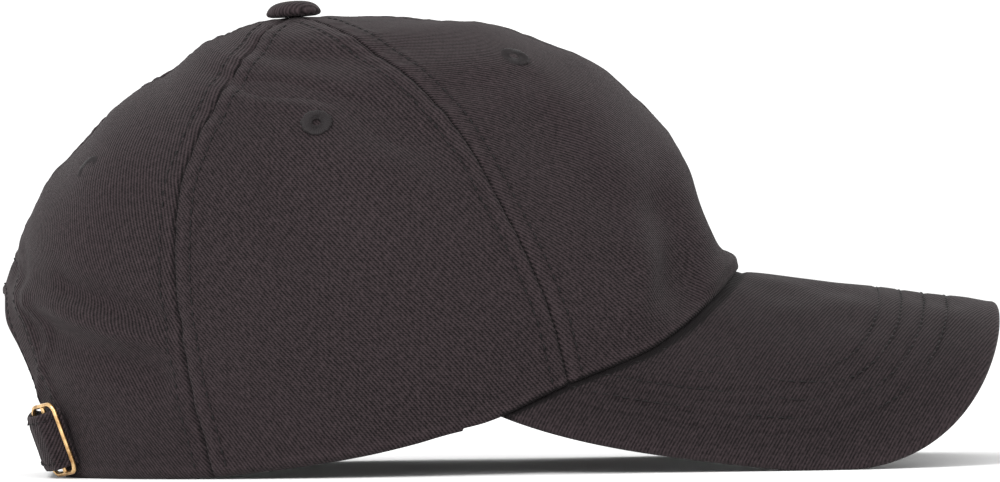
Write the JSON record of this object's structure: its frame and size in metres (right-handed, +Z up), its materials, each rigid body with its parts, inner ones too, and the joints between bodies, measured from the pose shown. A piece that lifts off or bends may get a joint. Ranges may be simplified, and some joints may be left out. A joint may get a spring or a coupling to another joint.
{
  "type": "six-panel cap",
  "caption": "Soft low-profile twill cap with a curved stitched peak, sewn eyelets, a covered button and a strap with a brass slide buckle across an arched opening.",
  "frame": {"origin": "middle of the bounding box, on the surface the cap rests on", "axes": "-Y towards the peak, +Z up, -X to the wearer's right"},
  "size_m": [0.1596, 0.2788, 0.1314],
  "materials": {
    "crown_cloth": "brushed cotton twill",
    "peak_cloth": "cotton twill over a stiff board",
    "strap_cloth": "folded cotton twill",
    "band_cloth": "plain cotton",
    "eyelet_thread": "satin-stitched thread",
    "brass": "antique, satin"
  },
  "bodies": {
    "root": {"front_panel_right": "crown_cloth", "front_panel_left": "crown_cloth", "side_panel_right": "crown_cloth", "side_panel_left": "crown_cloth", "back_panel_right": "crown_cloth", "back_panel_left": "crown_cloth", "eyelet_front_right": "eyelet_thread", "eyelet_front_left": "eyelet_thread", "eyelet_side_right": "eyelet_thread", "eyelet_side_left": "eyelet_thread", "eyelet_back_right": "eyelet_thread", "eyelet_back_left": "eyelet_thread", "button": "crown_cloth", "peak": "peak_cloth", "sweatband": "band_cloth", "strap": "strap_cloth", "buckle_tab": "strap_cloth", "buckle": "brass"}
  },
  "joints": []
}
